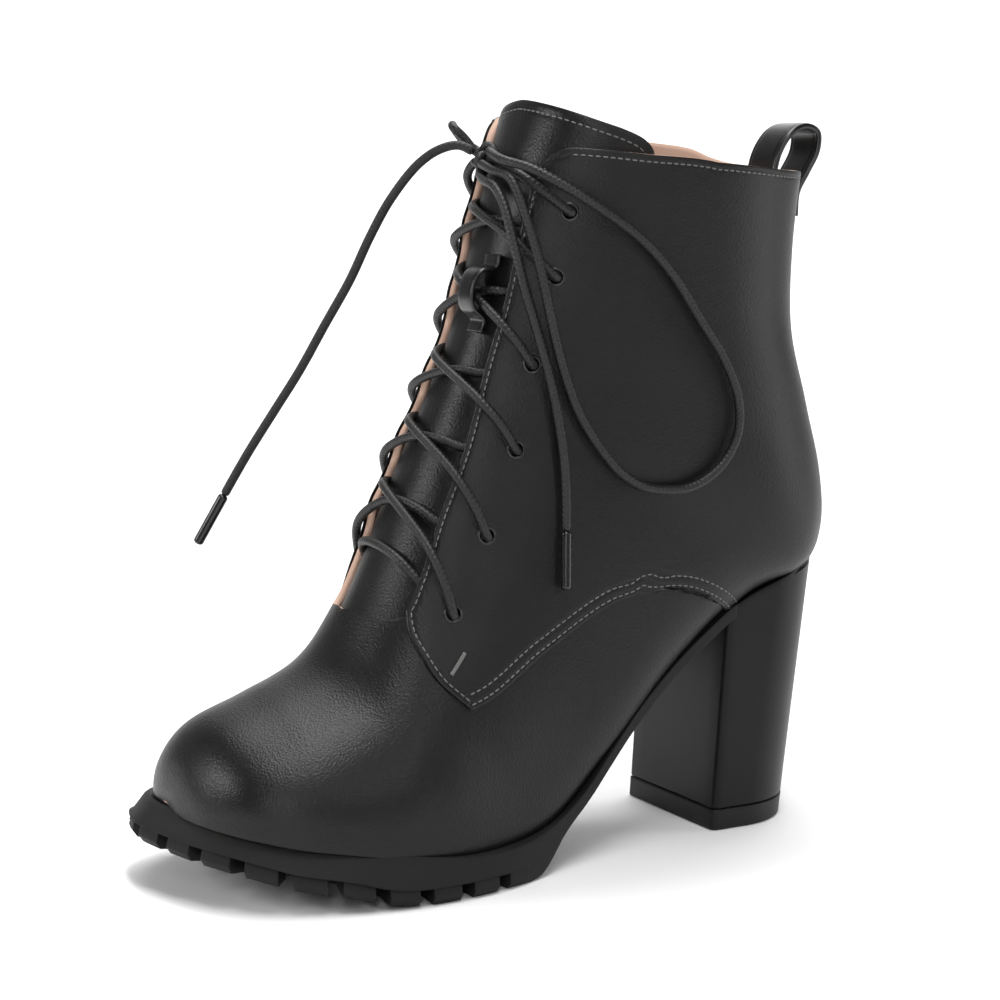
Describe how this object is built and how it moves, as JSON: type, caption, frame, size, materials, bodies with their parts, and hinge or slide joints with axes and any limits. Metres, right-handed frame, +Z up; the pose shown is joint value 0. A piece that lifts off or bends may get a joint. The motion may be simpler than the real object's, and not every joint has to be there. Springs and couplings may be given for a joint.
{
  "type": "lace up ankle boot",
  "caption": "Women's lace up ankle boot with a high block heel, lugged sole, hollow shaft, tongue, crossed laces and a pull loop at the back.",
  "frame": {"origin": "on the floor under the middle of the heel, on the flat underside of the top lift", "axes": "+X towards the toe, +Y towards the wearer's left, which is the outer side, +Z up"},
  "size_m": [0.2437, 0.108, 0.2413],
  "materials": {
    "leather": "smooth black leather, satin, fine speckled grain",
    "sole_rubber": "matt black moulded rubber",
    "heel_cover": "black cover drawn over the heel, satin",
    "lining": "blush lining, matt",
    "webbing": "black folded strap with stitched edges",
    "lace": "round waxed cord, braided, low sheen",
    "aglet": "smooth black tip"
  },
  "bodies": {
    "root": {"upper": "leather", "outsole": "sole_rubber", "heel": "heel_cover", "top_lift": "sole_rubber", "insole": "lining", "tongue": "leather", "lace_keeper": "leather", "pull_loop": "webbing", "lace_bar": "lace", "lace_crossing_1": "lace", "lace_crossing_2": "lace", "lace_crossing_3": "lace", "lace_crossing_4": "lace", "lace_crossing_5": "lace", "lace_knot": "lace", "lace_bow": "lace", "lace_loop_small": "lace", "lace_end_outer": "lace", "lace_end_inner": "lace", "aglet_outer": "aglet", "aglet_inner": "aglet"}
  },
  "joints": []
}
